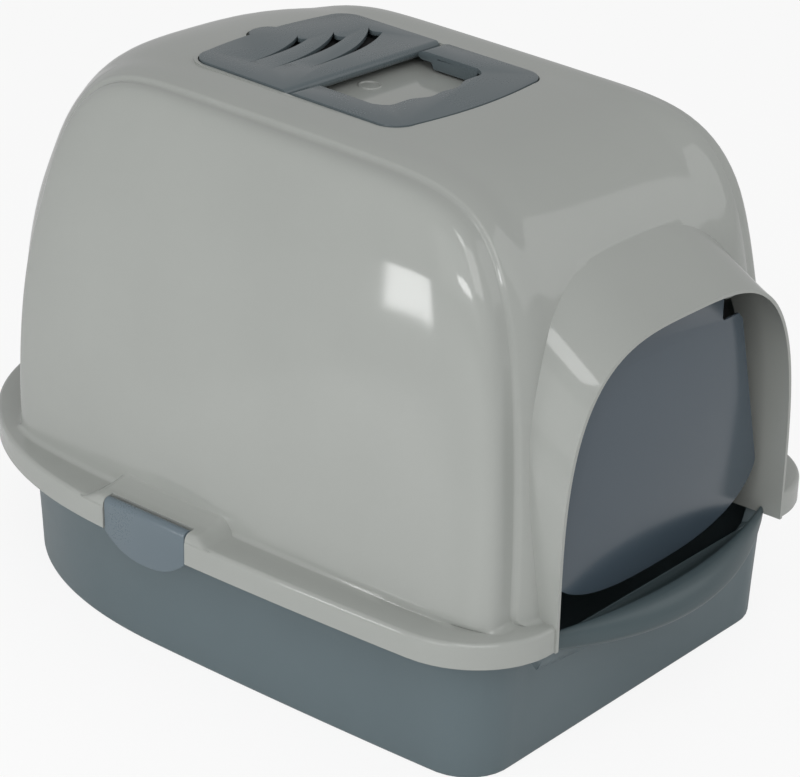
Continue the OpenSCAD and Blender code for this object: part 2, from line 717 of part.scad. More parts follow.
arm_x = lid_w - arm_w;
arm_top_y = -2.5;
// The grip hole's front edge is wavy, to fit the fingers
function grip_edge(x) =
    let (a = abs(x))
    -hatch_front + grip_depth - 6 * smooth((30 - a) / 18) + 1.5 * smooth((12 - a) / 12)
    + 10 * pow(clamp((a - arm_x + 10) / 10, 0, 1), 2.2);
module handle_plan()
    difference() {
        polygon(hatch_outline(hatch_gap));
        polygon(concat([for (i = [0:32]) let (x = mix(-arm_x, arm_x, i / 32)) [x, grip_edge(x)]],
                       [[arm_x, hatch_rear * 2], [-arm_x, hatch_rear * 2]]));
        translate([-hatch_half_w, arm_top_y])
            square([2 * hatch_half_w, 2 * hatch_rear]);
    }
// End of an arm in side view: it slopes down to the cover's rolled edge
arm_end = [[-12, 0], [-2.5, 0], [0, -0.4], [2.4, -1.3], [4.2, -2.4], [5, -3.6], [4.6, -5], [2, -6.5],
           [-12, -6.5]];
// Inner side of an arm in side view
arm_rib = [[-48, -2], [-46, -8], [-42, -11], [-9.5, -11], [-5.5, -4]];
module beside_arm(x, w, outline)
    for (s = [-1, 1])
        translate([s > 0 ? x : -x - w, 0, 0])
            rotate([90, 0, 90])
                linear_extrude(height = w)
                    polygon(outline);
module carry_handle()
    color(tray_colour)
        on_hatch()
            union() {
                translate([0, 0, -lid_t])
                    linear_extrude(height = lid_t)
                        handle_plan();
                beside_arm(arm_x, arm_w, arm_end);
                beside_arm(arm_x, skirt_t, arm_rib);
                // Skirt round the front and the sides, which stands on the well's floor
                translate([0, 0, -lid_skirt])
                    linear_extrude(height = lid_skirt - 1)
                        difference() {
                            polygon(hatch_outline(hatch_gap));
                            polygon(hatch_outline(hatch_gap + skirt_t));
                            translate([-hatch_half_w, handle_axis_y - nose_r - 1])
                                square([2 * hatch_half_w, 2 * hatch_rear]);
                        }
                for (s = [-1, 1])
                    along_x(handle_axis_y, lid_axis_z, lid_pin_r,
                            s > 0 ? arm_x + 1 : -hatch_half_w - lid_pin_reach,
                            s > 0 ? hatch_half_w + lid_pin_reach : -arm_x - 1);
            }

// ---- Hood ----

// How much less deep the porch's hollow starts inside the hood than its walls
porch_cut = 20;
module hood_moulding()
    difference() {
        union() {
            difference() {
                union() {
                    hood_shell();
                    porch_solid(0, 0, 0);
                }
                porch_solid(hood_wall, porch_cut, 1);
                for (s = [0, 1])
                    mirror([s, 0, 0])
                        latch_pocket();
            }
            for (s = [0, 1])
                mirror([s, 0, 0])
                    latch_hump();
            well_tub();
        }
        well_cut();
        floor_vents();
    }
module hood()
    color(hood_colour)
        difference() {
            union() {
                // Drawn to its exact width over the skirt
                resize([2 * half_w, 0, 0])
                    hood_moulding();
                flap_brackets();
                lid_bosses();
            }
            lid_bores();
            for (s = [-1, 1])
                along_y(s * latch_pin_x, latch_pin_z, latch_pin_r + pin_gap,
                        -latch_w / 2 - latch_pin_reach - 0.5, latch_w / 2 + latch_pin_reach + 0.5);
        }

tray();
hood();
latch_left();
latch_right();
entry_flap();
filter_cover();
filter_pad();
carry_handle();
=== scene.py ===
# Hooded litter box dressed for a studio picture: the hood and the tray are moulded again as fine
# smooth shells from the same outlines as the frame, the small parts get soft edges, and every
# plastic gets its finish. Lengths in the dictionaries are millimetres and angles are degrees; the
# places and sizes of the camera, the finishes and the studio are metres.
import bpy
import math
from mathutils import Matrix, Vector


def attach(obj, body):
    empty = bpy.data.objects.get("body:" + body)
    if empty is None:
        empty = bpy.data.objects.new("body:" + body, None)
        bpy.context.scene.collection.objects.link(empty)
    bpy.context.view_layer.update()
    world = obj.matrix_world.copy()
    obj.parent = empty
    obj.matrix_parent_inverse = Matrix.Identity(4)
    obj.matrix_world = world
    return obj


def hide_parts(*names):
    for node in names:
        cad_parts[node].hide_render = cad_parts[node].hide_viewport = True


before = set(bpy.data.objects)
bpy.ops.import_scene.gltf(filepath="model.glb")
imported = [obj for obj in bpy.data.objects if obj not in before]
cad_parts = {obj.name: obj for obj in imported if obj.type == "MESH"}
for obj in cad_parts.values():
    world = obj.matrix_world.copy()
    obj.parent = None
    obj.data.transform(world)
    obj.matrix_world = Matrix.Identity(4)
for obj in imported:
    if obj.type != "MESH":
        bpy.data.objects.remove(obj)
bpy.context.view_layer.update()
mm = 0.001

# camera, at the picture's viewing angle
cameraSettings = dict(
    place=(-1.274783, -1.132541, 0.908226),
    right=(0.653782, -0.756421, 0.019912),
    up=(0.297049, 0.280766, 0.912651),
    lens=119.0, sensorWidth=36, clipEnd=30,
)


def makeCamera(s):
    right, up = Vector(s["right"]).normalized(), Vector(s["up"]).normalized()
    back = right.cross(up)
    turn = Matrix((right, up, back)).transposed().to_4x4()
    data = bpy.data.cameras.new("studioCamera")
    data.lens = s["lens"]
    data.sensor_width = s["sensorWidth"]
    data.sensor_fit = "HORIZONTAL"
    data.clip_end = s["clipEnd"]
    cam = bpy.data.objects.new("studioCamera", data)
    cam.matrix_world = Matrix.Translation(Vector(s["place"])) @ turn
    bpy.context.collection.objects.link(cam)
    bpy.context.scene.camera = cam


makeCamera(cameraSettings)
bpy.context.scene.view_settings.view_transform = "Standard"
print("camera placed")


# helpers for modelling
weldDistance = 0.00001  # metres
mergeAngle = 0.6  # degrees between a frame node's triangles that are one flat face


def mix(a, b, t):
    return a + (b - a) * t


def clamp(v, lo, hi):
    return max(lo, min(hi, v))


def smooth(t):
    c = clamp(t, 0, 1)
    return c * c * (3 - 2 * c)


def superRadius(ca, sa, a, b, n):
    return ((abs(ca) / a) ** n + (abs(sa) / b) ** n) ** (-1 / n)


def between(pairs, t):
    # straight interpolation in a list of (position, value) pairs
    for (t0, v0), (t1, v1) in zip(pairs, pairs[1:]):
        if t <= t1:
            return mix(v0, v1, (t - t0) / (t1 - t0))
    return pairs[-1][1]


def pickNothing():
    if bpy.context.object and bpy.context.object.mode != "OBJECT":
        bpy.ops.object.mode_set(mode="OBJECT")
    bpy.ops.object.select_all(action="DESELECT")


def pickOnly(*objs):
    pickNothing()
    for o in objs:
        o.select_set(True)
    bpy.context.view_layer.objects.active = objs[0]


def inEdit(obj, *steps):
    # runs edit mode operators on everything in one object
    pickOnly(obj)
    bpy.ops.object.mode_set(mode="EDIT")
    bpy.ops.mesh.select_all(action="SELECT")
    for step in steps:
        step()
    bpy.ops.object.mode_set(mode="OBJECT")


def weld():
    bpy.ops.mesh.remove_doubles(threshold=weldDistance)


def outwards():
    bpy.ops.mesh.normals_make_consistent(inside=False)


def gridPiece(name, cols, rows, place):
    # a primitive grid whose points are moved to place(u, v), with u and v from 0 to 1, in mm
    pickNothing()
    bpy.ops.mesh.primitive_grid_add(x_subdivisions=cols, y_subdivisions=rows, size=2)
    obj = bpy.context.object
    obj.name = name
    for point in obj.data.vertices:
        u = round((point.co.x + 1) / 2 * cols) / cols
        v = round((point.co.y + 1) / 2 * rows) / rows
        point.co = Vector(place(u, v)) * mm
    return obj


def tubePiece(name, rings, poles=True):
    # a closed body through rings of as many points each; its ends have a pole or one flat face
    n = len(rings[0])
    ends = [[tuple(sum(p[k] for p in r) / n for k in range(3))] * n for r in (rings[0], rings[-1])]
    rows = [ends[0]] + rings + [ends[1]] if poles else rings
    last = len(rows) - 1
    obj = gridPiece(name, n, last, lambda u, v: rows[round(v * last)][round(u * n) % n])
    inEdit(obj, weld, lambda: bpy.ops.mesh.fill_holes(sides=0), outwards)
    return obj


def joined(obj, *others):
    pickOnly(obj, *others)
    bpy.ops.object.join()
    return obj


def applyModifiers(obj):
    pickOnly(obj)
    for m in list(obj.modifiers):
        bpy.ops.object.modifier_apply(modifier=m.name)


def combine(obj, tool, operation):
    m = obj.modifiers.new("cut", "BOOLEAN")
    m.operation = operation
    m.object = tool
    m.solver = "EXACT"
    applyModifiers(obj)
    bpy.data.objects.remove(tool)


def softEdges(obj, width, angle=35, segments=3, pick=None):
    # rounds the edges that turn more than the angle, all of them or those that pick(a, b) takes
    if pick:
        markEdges(obj, angle, pick)
    m = obj.modifiers.new("soft", "BEVEL")
    m.width = width * mm
    m.segments = segments
    m.limit_method = "WEIGHT" if pick else "ANGLE"
    m.angle_limit = math.radians(angle)
    m.use_clamp_overlap = True
    m.harden_normals = False
    applyModifiers(obj)


def markEdges(obj, angle, pick):
    mesh = obj.data
    faces = {}
    for p in mesh.polygons:
        for key in p.edge_keys:
            faces.setdefault(key, []).append(p.normal)
    name = "bevel_weight_edge"
    weights = mesh.attributes.get(name) or mesh.attributes.new(name, "FLOAT", "EDGE")
    turn = math.cos(math.radians(angle))
    for i, e in enumerate(mesh.edges):
        n = faces.get(tuple(sorted(e.vertices)), [])
        sharp = len(n) == 2 and n[0].dot(n[1]) < turn
        a, b = (mesh.vertices[k].co / mm for k in e.vertices)
        weights.data[i].value = 1.0 if sharp and pick(a, b) else 0.0


def smoothShade(obj, angle):
    pickOnly(obj)
    bpy.ops.object.shade_smooth_by_angle(angle=math.radians(angle))


def copyOfNode(node, name):
    # an own copy of a frame node, with its loose triangles merged back into faces
    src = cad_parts[node]
    obj = bpy.data.objects.new(name, src.data.copy())
    bpy.context.collection.objects.link(obj)
    obj.matrix_world = src.matrix_world
    pickOnly(obj)
    bpy.ops.object.transform_apply(location=True, rotation=True, scale=True)
    obj.data.materials.clear()
    inEdit(obj, weld, lambda: bpy.ops.mesh.dissolve_limited(angle_limit=math.radians(mergeAngle)))
    return obj


def block(name, low, high):
    # a cube primitive stretched between two corners
    pickNothing()
    bpy.ops.mesh.primitive_cube_add(size=1)
    obj = bpy.context.object
    obj.name = name
    for v in obj.data.vertices:
        v.co = Vector([mix(low[k], high[k], v.co[k] + 0.5) for k in range(3)]) * mm
    return obj


def roundedProfile(points, steps):
    # a smooth line through the points
    def between4(a, b, c, d, t):
        square, cube = 2 * a - 5 * b + 4 * c - d, 3 * b - a - 3 * c + d
        return 0.5 * (2 * b + (c - a) * t + square * t * t + cube * t ** 3)

    out = []
    for i in range(len(points) - 1):
        near = [points[clamp(k, 0, len(points) - 1)] for k in (i - 1, i, i + 1, i + 2)]
        out += [tuple(between4(*values, j / steps) for values in zip(*near)) for j in range(steps)]
    return out + [points[-1]]


# hood: squareness, fullness and power are exponents of rounded outlines, turns are (first row, rows)
hood = dict(
    halfWidth=200, front=287, rear=272.2, planMid=20, cornerRadius=63, leastCorner=12, sideBow=11,
    rearPower=2.2,
    ledgeTop=113.3, skirtBottom=95.3, ledgeWidth=28, ledgeFillet=4, skirtRound=3, skirtEase=0.6,
    underPlay=0.4,
    wall=2.6, rise=270, archRise=262.5, topSlope=0.045, hubY=-48, lean=0.125,
    archRear=220, archTaper=24, archTaperPower=1.7, archSpread=6, archShoulder=4.5,
    shoulderShare=0.25, panelBulge=30, panelStep=3, stepFrom=0.7, stepOver=0.24,
    frontPlay=13, archFrontInset=12, edgeRound=1.3, hubClear=15,
    archSquareness=(6.5, 3.2), topSquareness=(5, 3.3), bandSquareness=(8, 1.9),
    panelFullness=(5, 3.4, 2.6), archTurn=(17, 7), topTurn=(18, 6),
    rows=128, panelColumns=30, bandColumns=26, panelSpacing=2.3, bandSpacing=1.35, rowsInSource=30,
)
hood["wallFoot"] = hood["ledgeTop"] + hood["ledgeFillet"]
hood["frontReach"] = (hood["front"] + hood["hubY"] - hood["ledgeWidth"] + hood["ledgeFillet"]
                      + hood["frontPlay"])
hood["rearReach"] = hood["rear"] - hood["hubY"] - hood["ledgeWidth"] + hood["ledgeFillet"]
hood["baseHalfWidth"] = hood["halfWidth"] - hood["ledgeWidth"]
hood["archHalfWidth"] = hood["baseHalfWidth"] - hood["panelBulge"]
hood["archFront"] = hood["frontReach"] - hood["archFrontInset"]


def planRadius(a, inset):
    # from the middle of the plan to its outline: round at the rear, a rounded rectangle in front
    h = hood
    tiny = 0.0001
    w = h["halfWidth"] - inset
    ca, sa = math.cos(a), math.sin(a)
    if sa >= 0:
        return superRadius(ca, sa, w, h["rear"] - h["planMid"] - inset, h["rearPower"])
    d, r = h["front"] + h["planMid"] - inset, max(h["cornerRadius"] - inset, h["leastCorner"])
    ca, sa = abs(ca), -sa
    toSide, toFront = w / max(ca, tiny), d / max(sa, tiny)
    if toSide * sa < d - r:
        return toSide
    if toFront * ca < w - r:
        return toFront
    along = ca * (w - r) + sa * (d - r)
    return along + math.sqrt(along * along - ((w - r) ** 2 + (d - r) ** 2 - r * r))


def planPoint(a, inset):
    h = hood
    r = planRadius(a, inset)
    x, y = r * math.cos(a), h["planMid"] + r * math.sin(a)
    ahead = min(0, y - h["planMid"]) / (h["front"] + h["planMid"])
    return x * (1 - h["sideBow"] / h["halfWidth"] * ahead ** 2), y


def lift(y, z):
    # the roof's slope, which grows from nothing at the ledge
    h = hood
    return z + h["topSlope"] * (y - h["hubY"]) * clamp((z - h["ledgeTop"]) / h["rise"], 0, 1)


def sidePoint(v, reachFront, reachRear, rise, power):
    # seen from the side, a point on an arch over the hub, with v from 0 in front to 1 at the rear
    h = hood
    ca, sa = math.cos(math.pi * v), math.sin(math.pi * v)
    r = superRadius(ca, sa, reachFront if ca > 0 else reachRear, rise, power)
    y = h["hubY"] - r * ca * (1 - (h["lean"] if ca > 0 else 0) * r * sa / reachFront)
    return y, lift(y, h["wallFoot"] + r * sa)


def turning(pair, v, turn):
    start, rows = turn
    return mix(pair[0], pair[1], smooth((v * hood["rowsInSource"] - start) / rows))


def archPoint(v, inset):
    # (y, z) on the ridge between a side panel and the band
    h = hood
    rise = h["archRise"] - h["ledgeFillet"] - inset
    return sidePoint(v, h["archFront"] - inset, h["archRear"] - inset, rise,
                     turning(h["archSquareness"], v, h["archTurn"]))


def middlePoint(v, inset):
    # (y, z) along the middle of the band
    h = hood
    rise = h["rise"] - h["ledgeFillet"] - inset
    return sidePoint(v, h["frontReach"] - inset, h["rearReach"] - inset, rise,
                     turning(h["topSquareness"], v, h["topTurn"]))


def archX(v, z):
    # how far out the ridge stands at a height
    h = hood
    t = clamp((z - h["wallFoot"]) / (h["archRise"] - h["ledgeFillet"]), 0, 1)
    shoulder = smooth((t - (1 - h["shoulderShare"])) / h["shoulderShare"])
    taper = mix(1 - (1 - t) ** 2, t ** h["archTaperPower"], smooth(v))
    return (h["archHalfWidth"] + h["archSpread"] * smooth(v) - h["archShoulder"] * shoulder
            - h["archTaper"] * taper)


def panelPoint(v, s, inset):
    # a side panel, with s from 0 at the hub to 1 at the ridge
    h = hood
    edge = archPoint(v, inset)
    y, z = mix(h["hubY"], edge[0], s), mix(h["wallFoot"], edge[1], s)
    f = h["panelFullness"]
    n = between([(0, f[0]), (0.5, f[1]), (1, f[2])], v)
    bulge = h["panelBulge"] - h["archSpread"] * smooth(v)
    return archX(v, z) - inset + bulge * (1 - s ** n) ** (1 / n), y, z


def bandPoint(v, u, inset):
    # the band over the roof, with u from 0 in the middle to 1 at the ridge
    h = hood
    edge, middle = archPoint(v, inset), middlePoint(v, inset)
    g = u ** mix(h["bandSquareness"][0], h["bandSquareness"][1], smooth(v))
    out = h["panelStep"] * smooth((u - h["stepFrom"]) / h["stepOver"])
    return ((archX(v, edge[1]) - inset) * u,
            mix(middle[0], edge[0], g) - out * math.cos(math.pi * v),
            mix(middle[1], edge[1], g) + out * math.sin(math.pi * v))


def domePoint(v, column, inset=0):
    # columns run from the left hub over the left panel, the band and the right panel to the right hub
    h = hood
    half = h["panelColumns"] + h["bandColumns"]
    k = column if column <= half else 2 * half - column
    if k <= h["panelColumns"]:
        w = k / h["panelColumns"]
        x, y, z = panelPoint(v, 1 - (1 - w) ** h["panelSpacing"], inset)
    else:
        w = (k - h["panelColumns"]) / h["bandColumns"]
        x, y, z = bandPoint(v, 1 - w ** h["bandSpacing"], inset)
    return (-x if column < half else x), y, z


def arc(cx, cy, r, start, end, steps):
    # points (inset, height) round a centre, angles in degrees
    return [(cx + r * math.cos(math.radians(mix(start, end, i / steps))),
             cy + r * math.sin(math.radians(mix(start, end, i / steps)))) for i in range(steps + 1)]


def skirtSection():
    # insets and heights from the wall's foot over the ledge, down the skirt and back up its inside;
    # the first ones are angles round the fillet from the foot to the ledge
    h = hood
    f, top, wall, edge = h["ledgeFillet"], h["ledgeTop"], h["wall"], h["skirtRound"]
    bottom, ease, under = h["skirtBottom"], h["skirtEase"], top - wall - h["underPlay"]
    return ([(h["ledgeWidth"] - f, math.radians(a)) for a in (15, 30, 45, 60, 75)]
            + [(mix(h["ledgeWidth"] - f, edge, t), top) for t in (0, 0.33, 0.66)]
            + arc(edge, top - edge, edge, 90, 180, 6)
            + [(0, mix(top - edge, bottom, t)) for t in (0.5, 0.96)]
            + [(ease, bottom), (wall - ease, bottom), (wall, bottom + ease),
               (wall, mix(bottom, under, 0.5)), (wall, under), (h["ledgeWidth"] + f, under)])


def skirtPoint(foot, ring):
    # a point of the skirt's section, straight outwards from a point at the wall's foot
    mid = hood["planMid"]
    inset, z = ring
    x, y = planPoint(math.atan2(foot[1] - mid, foot[0]), inset)
    if inset > hood["ledgeFillet"]:
        # where the wall's foot stands further out than the ring, the ring keeps outside it
        room = hood["ledgeFillet"] if inset < hood["ledgeWidth"] else 0
        k = max(1, (math.hypot(foot[0], foot[1] - mid) + room) / math.hypot(x, y - mid))
        x, y = x * k, mid + (y - mid) * k
    if z < math.pi / 2:  # one of the fillet's angles
        t = 1 - math.cos(z)
        return mix(foot[0], x, t), mix(foot[1], y, t), mix(foot[2], hood["ledgeTop"], math.sin(z))
    return x, y, z


def makeDome():
    # an outer and an inner skin, and the skirt's section run round from the one's edge to the other's
    h = hood
    columns = 2 * (h["panelColumns"] + h["bandColumns"])
    skins = [gridPiece("hoodSkin", columns, h["rows"],
                       lambda u, v: domePoint(v, round(u * columns), inset))
             for inset in (0, h["wall"])]
    rings = skirtSection()

    def skirt(u, v):
        k, r = round(u * 2 * columns), round(v * (len(rings) + 1))
        inset = h["wall"] if r >= len(rings) else 0
        foot = domePoint(0, k, inset) if k <= columns else domePoint(1, 2 * columns - k, inset)
        return skirtPoint(foot, rings[r - 1]) if 0 < r <= len(rings) else foot

    edge = gridPiece("hoodSkirt", 2 * columns, len(rings) + 1, skirt)
    dome = joined(*skins, edge)
    inEdit(dome, weld, outwards)
    return dome


def onRidge(a, b):
    # an edge between two points above the wall's foot, away from the hub where the columns meet
    h = hood
    return (min(a.z, b.z) > h["wallFoot"] - 0.5
            and math.hypot(a.y - h["hubY"], a.z - h["wallFoot"]) > h["hubClear"])


dome = makeDome()
softEdges(dome, hood["edgeRound"], angle=35, pick=onRidge)
print("dome made:", len(dome.data.polygons), "faces")

# porch: its roof falls towards the rim, straight for the most part and easing in by roofEase
porch = dict(halfWidth=126, rimRise=174, roofRise=213, archPower=3.4, wall=2.6, roofEase=0.35,
             easeFrom=0.25, roofSet=22, sideSet=4, straightSide=90, inside=24, rimAhead=1,
             footLift=0.05, cutBack=20, cutAhead=1, cutBelow=4,
             archSteps=96, depthSteps=26, footSteps=5, soleSteps=8)


def porchRing(d, inset, back, ahead, below):
    # one section of the porch, closed along its foot, at depth d from 0 inside the hood to 1 at the rim
    p, h = porch, hood
    base, front = h["ledgeTop"], -(h["frontReach"] - h["hubY"])
    rim = -h["front"] - p["rimAhead"] - ahead
    ease, start = p["roofEase"], p["easeFrom"]
    fall = smooth(start + (1 - start) * d) * ease + (1 - ease) * d
    rise = mix(p["roofRise"], p["rimRise"], fall) - inset
    half = p["halfWidth"] - inset
    bottom = h["skirtBottom"] - below
    sideY = mix(front + p["sideSet"] + p["inside"] + back, rim, d)
    feet = [mix(bottom, base, i / p["footSteps"]) for i in range(p["footSteps"])]
    points = [(-half, sideY, z) for z in feet]
    for i in range(p["archSteps"] + 1):
        a = math.pi * i / p["archSteps"]
        r = superRadius(math.cos(a), math.sin(a), half, rise, p["archPower"])
        x, z = -r * math.cos(a), base + r * math.sin(a)
        straight = p["straightSide"]
        deep = mix(p["sideSet"], p["roofSet"],
                   smooth((z - base - straight) / (p["roofRise"] - straight)))
        points.append((x, mix(front + deep + p["inside"] + back, rim, d), z))
    points += [(half, sideY, z) for z in reversed(feet)]
    n = p["soleSteps"]
    return points + [(mix(half, -half, i / n), sideY, bottom) for i in range(1, n)]


def porchSolid(name, inset, back, ahead, below):
    # the porch as one solid, longer at its back, rim and foot by the last three
    n = porch["depthSteps"]
    return tubePiece(name, [porchRing(i / n, inset, back * (1 - i / n), ahead * (i / n), below)
                            for i in range(n + 1)])


combine(dome, porchSolid("porchForm", 0, 0, 0, -porch["footLift"]), "UNION")
combine(dome, porchSolid("porchHollow", porch["wall"], porch["cutBack"], porch["cutAhead"],
                         porch["cutBelow"]), "DIFFERENCE")
print("porch joined:", len(dome.data.polygons), "faces")


# places for the latches
latch = dict(width=75, play=1, pinX=195, barrel=4, cutTop=140, cutPast=2)
latch["pocketHalf"] = latch["width"] / 2 + latch["play"]
latch["pocketX"] = latch["pinX"] - latch["barrel"] - latch["play"]
# the swelling of the ledge; top and edge are (out from wallX, share of the rise)
hump = dict(
    rise=5, flat=5.5, shoulder=17, shoulderSteps=12, wallX=170, sink=0.8, profileSteps=4,
    top=((0, 2.2), (2, 1.95), (4, 1.78), (8, 1.5), (12, 1.27), (16, 1.09)),
    edge=((22, 0.96), (26, 0.8), (28.2, 0.4), (29.2, -0.1)),
)


def humpForm(side, stations):
    # through stations of (place along the side, share of the full height)
    top, foot, wallX = hood["ledgeTop"], hood["ledgeTop"] - hump["sink"], hump["wallX"]
    profile = roundedProfile(hump["top"] + hump["edge"], hump["profileSteps"])
    rings = []
    for y, share in stations:
        ring = [(wallX + x, y, mix(foot, top + hump["rise"] * z, share)) for x, z in profile]
        ring += [(wallX + hump["edge"][-1][0], y, foot - 0.1), (wallX, y, foot)]
        rings.append([(side * x, y, z) for x, y, z in ring])
    return tubePiece("hump", rings, poles=False)


def cutLatchPlace(side):
    # the ledge swells behind and beside the latch, and a pocket through its edge takes the latch
    half, n = latch["pocketHalf"], hump["shoulderSteps"]
    flat = half + hump["flat"]
    rise = [(mix(flat, flat + hump["shoulder"], i / n), 1 - smooth(i / n)) for i in range(n + 1)]
    combine(dome, humpForm(side, [(-y, k) for y, k in reversed(rise)] + rise), "UNION")
    near, far = sorted((side * latch["pocketX"], side * (hood["halfWidth"] + latch["cutPast"])))
    pocket = block("cut", (near, -half, hood["skirtBottom"] - 1), (far, half, latch["cutTop"]))
    combine(dome, pocket, "DIFFERENCE")


for side in (-1, 1):
    cutLatchPlace(side)
print("latch places cut:", len(dome.data.polygons), "faces")


# the hatch's well in the hood's top, with a bay for the cover's tab and slots in its floor
hatch = dict(y=-20, plane=384.96, slope=0.045, halfWidth=78, front=95, rear=101, bow=5, corner=18,
             wellDepth=13, wall=2.6, tubTop=-1.5, cutTop=14, tabHalf=13, tabReach=6, tabRoot=3, tabPlay=2,
             ventCount=9, ventWidth=6, ventSpread=54, ventFrom=27, ventTo=85, ventBelow=6, ventAbove=4,
             cornerSteps=14, bowSteps=24)


def onHatch(x, y, z):
    # from the hatch's own frame, which slopes with the roof, to the hood's
    a = math.atan(hatch["slope"])
    return (x, hatch["y"] + y * math.cos(a) - z * math.sin(a),
            hatch["plane"] + y * math.sin(a) + z * math.cos(a))


def hatchOutline(grow):
    # the well's outline, grown outwards; its ends are bowed and the rear one has the tab's round bay
    q = hatch
    x, f, b, r = q["halfWidth"] + grow, -grow - q["front"], q["rear"] + grow, q["corner"] + grow
    w, n, steps = x - r, q["bowSteps"], q["cornerSteps"]

    def corner(cx, cy, start):
        angles = [math.radians(start + 90 * i / steps) for i in range(steps + 1)]
        return [(cx + r * math.cos(a), cy + r * math.sin(a)) for a in angles]

    def bay(px, py):
        half, root = q["tabHalf"] + q["tabPlay"] + grow, q["rear"] - q["tabRoot"]
        reach = q["tabReach"] + q["tabRoot"] + q["tabPlay"] + grow
        return max(py, root + reach * math.sqrt(1 - (px / half) ** 2)) if abs(px) < half else py

    rearEdge = [(w * (1 - i / n), b - q["bow"] * (1 - i / n) ** 2) for i in range(1, 2 * n)]
    frontEdge = [(w * t, f + q["bow"] * t * t) for t in (i / n - 1 for i in range(1, 2 * n))]
    return (corner(w, f + q["bow"] + r, 270) + corner(w, b - q["bow"] - r, 0)
            + [(px, bay(px, py)) for px, py in rearEdge]
            + corner(-w, b - q["bow"] - r, 90) + corner(-w, f + q["bow"] + r, 180) + frontEdge)


def prism(name, outline, low, high):
    # an outline in the hatch's frame, raised between two heights
    return tubePiece(name, [[onHatch(x, y, z) for x, y in outline] for z in (low, high)])


def ventSlots():
    q = hatch
    w, near, far, depth = q["ventWidth"] / 2, q["ventFrom"], q["ventTo"], -q["wellDepth"]
    slots = []
    for i in range(q["ventCount"]):
        x = mix(-q["ventSpread"], q["ventSpread"], i / (q["ventCount"] - 1))
        slot = [(x + w, near), (x + w, far), (x - w, far), (x - w, near)]
        slots.append(prism("vent", slot, depth - q["ventBelow"], depth + q["ventAbove"]))
    return joined(*slots)


tubBottom = -hatch["wellDepth"] - hatch["wall"]
combine(dome, prism("tub", hatchOutline(hatch["wall"]), tubBottom, hatch["tubTop"]), "UNION")
combine(dome, prism("well", hatchOutline(0), -hatch["wellDepth"], hatch["cutTop"]), "DIFFERENCE")
combine(dome, ventSlots(), "DIFFERENCE")

# a plain raised ring on the well's floor, between the handle and the cover
ring = dict(y=1.2, radius=7.5, thickness=1.6, segments=48, roundSegments=12)
pickNothing()
bpy.ops.mesh.primitive_torus_add(
    major_radius=ring["radius"] * mm, minor_radius=ring["thickness"] / 2 * mm,
    major_segments=ring["segments"], minor_segments=ring["roundSegments"])
floorRing = bpy.context.object
floorRing.location = Vector(onHatch(0, ring["y"], -hatch["wellDepth"])) * mm
floorRing.rotation_euler = (math.atan(hatch["slope"]), 0, 0)
pickOnly(floorRing)
bpy.ops.object.transform_apply(location=True, rotation=True, scale=True)
combine(dome, floorRing, "UNION")

# two brackets under the porch's roof carry the flap's hinge pins; post is the outline above the bore
bracket = dict(inner=61, outer=66, y=-270, z=277.3, radius=6, bore=3.05, boreAngle=345, boreSteps=23,
               footSteps=20, post=((6, 0), (10, 17), (8, 17), (-1.5, 11), (-6, 0)))


def bracketSection():
    q = bracket
    under = arc(0, 0, q["radius"], 180, 360, q["footSteps"])[1:-1]
    return [(q["y"] + y, q["z"] + z) for y, z in q["post"] + tuple(under)]


for side in (-1, 1):
    ends = sorted((side * bracket["inner"], side * bracket["outer"]))
    arm = tubePiece("bracket", [[(x, y, z) for y, z in bracketSection()] for x in ends])
    circle = arc(0, 0, bracket["bore"], 0, bracket["boreAngle"], bracket["boreSteps"])
    pin = [[(x + past, bracket["y"] + y, bracket["z"] + z) for y, z in circle]
           for x, past in zip(ends, (-1, 1))]
    combine(arm, tubePiece("bore", pin), "DIFFERENCE")
    combine(dome, arm, "UNION")
print("well sunk and brackets added:", len(dome.data.polygons), "faces")

# the porch's rim gets a small round, and the few gaps that the cuts leave between facets are closed
rim = dict(round=0.8, angle=50, ahead=-287.5, above=95.5)
softEdges(dome, rim["round"], angle=rim["angle"],
          pick=lambda a, b: max(a.y, b.y) < rim["ahead"] and min(a.z, b.z) > rim["above"])
inEdit(dome, weld, lambda: bpy.ops.mesh.fill_holes(sides=4))
shadeAngle = 32  # a shell's facets that turn less are shaded as one surface
dome.name = "hoodShell"
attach(dome, "hood")
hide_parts("hood")
smoothShade(dome, shadeAngle)
print("hood finished:", len(dome.data.polygons), "faces")


# small parts from the frame's own forms
softAngle = 28  # edges that turn more get rounded


def smallPart(node, name, body, width):
    obj = copyOfNode(node, name)
    softEdges(obj, width, softAngle)
    smoothShade(obj, softAngle + 2)
    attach(obj, body)
    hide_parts(node)
    return obj


small = dict(
    latchLeft=smallPart("latch_left", "latchLeft", "latch_left", 0.7),
    latchRight=smallPart("latch_right", "latchRight", "latch_right", 0.7),
    flap=smallPart("entry_flap", "flapPane", "entry_flap", 0.4),
    cover=smallPart("filter_cover", "hatchCover", "filter_cover", 0.5),
    handle=smallPart("carry_handle", "foldingHandle", "carry_handle", 0.6),
    pad=smallPart("filter_pad", "foamPad", "hood", 0.8),
)
print("small parts made")


# tray: its wall leans from the foot to the brim, and neck is how far below the top the rim's root ends
tray = dict(height=110, wall=3, floor=3, footInset=29, brimInset=24, sill=80, rimInset=7,
            rimThickness=3.5, neck=14, middle=120, footRound=4.2, innerRound=9, edgeRound=1.5, sillRound=2.5,
            entryHalf=130, sillBlend=7, stations=240, spacingInset=20, spacingSteps=7200)


